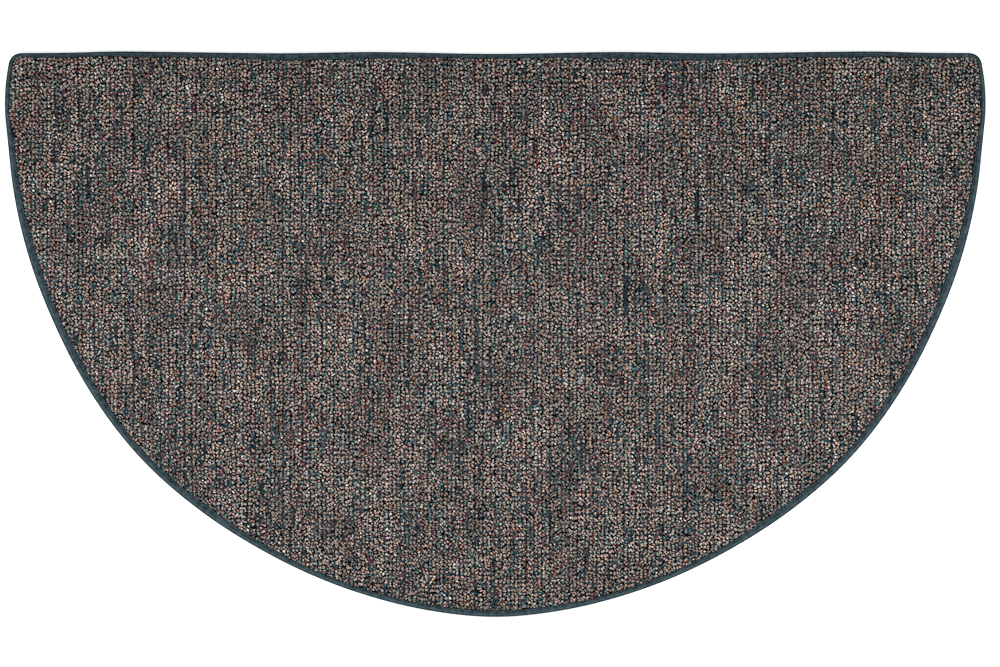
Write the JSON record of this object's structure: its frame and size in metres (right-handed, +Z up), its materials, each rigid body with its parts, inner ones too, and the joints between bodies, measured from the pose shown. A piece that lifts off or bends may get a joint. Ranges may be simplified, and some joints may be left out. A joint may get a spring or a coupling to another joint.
{
  "type": "half round hearth rug",
  "caption": "Half round hearth rug of speckled grey-brown loop pile carpet, bound all round with a dark slate tape, lying flat.",
  "frame": {"origin": "bottom centre of the bounding box, where the rug lies on the floor", "axes": "+X along the straight edge, +Y from the curved edge to the straight edge, +Z up out of the pile"},
  "size_m": [1.2194, 0.703, 0.009],
  "materials": {
    "loop_pile": "matte looped yarn, heather of taupe, grey and dark teal",
    "binding_tape": "matte woven tape"
  },
  "bodies": {
    "root": {"carpet": "loop_pile", "binding": "binding_tape"}
  },
  "joints": []
}
